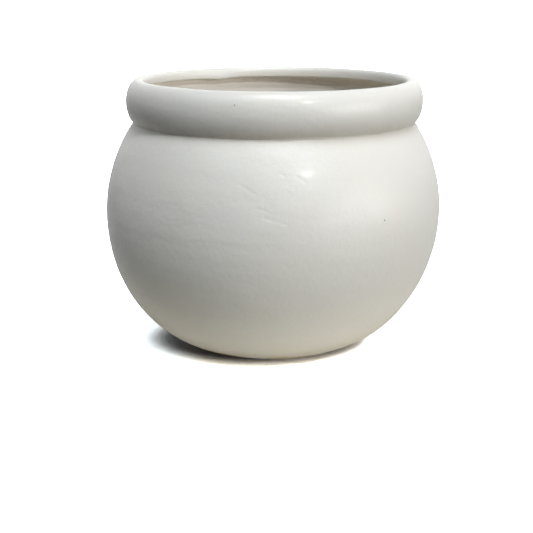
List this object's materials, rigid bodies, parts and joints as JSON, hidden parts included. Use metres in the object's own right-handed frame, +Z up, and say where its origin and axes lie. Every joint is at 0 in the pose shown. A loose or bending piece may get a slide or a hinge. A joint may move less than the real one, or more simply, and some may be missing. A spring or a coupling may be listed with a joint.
{
  "type": "plant pot",
  "caption": "Round-bellied garden plant pot with a thick rolled rim, a drain hole and a low foot ring, satin-glazed outside and bare clay inside.",
  "frame": {"origin": "on the ground, at the middle of the foot ring's standing face", "axes": "+Z up along the pot's axis, out of the mouth; the pot is turned about Z, so +X and +Y are alike, and the picture looks along +Y"},
  "size_m": [0.38, 0.38, 0.3083],
  "materials": {
    "satin_glaze": "off-white satin glaze, faintly mottled, with pinholes in the crease",
    "bare_clay": "unglazed buff clay, dusty, with throwing rings",
    "rim_clay": "unglazed buff clay in the hollow of the roll",
    "foot_clay": "unglazed buff clay, wiped and rubbed",
    "luting_slip": "fired slip, matt"
  },
  "bodies": {
    "root": {"body": "bare_clay", "rolled_rim": "rim_clay", "foot_ring": "foot_clay", "glaze_coat": "satin_glaze", "rim_luting_slip": "luting_slip", "foot_luting_slip": "luting_slip"}
  },
  "joints": []
}
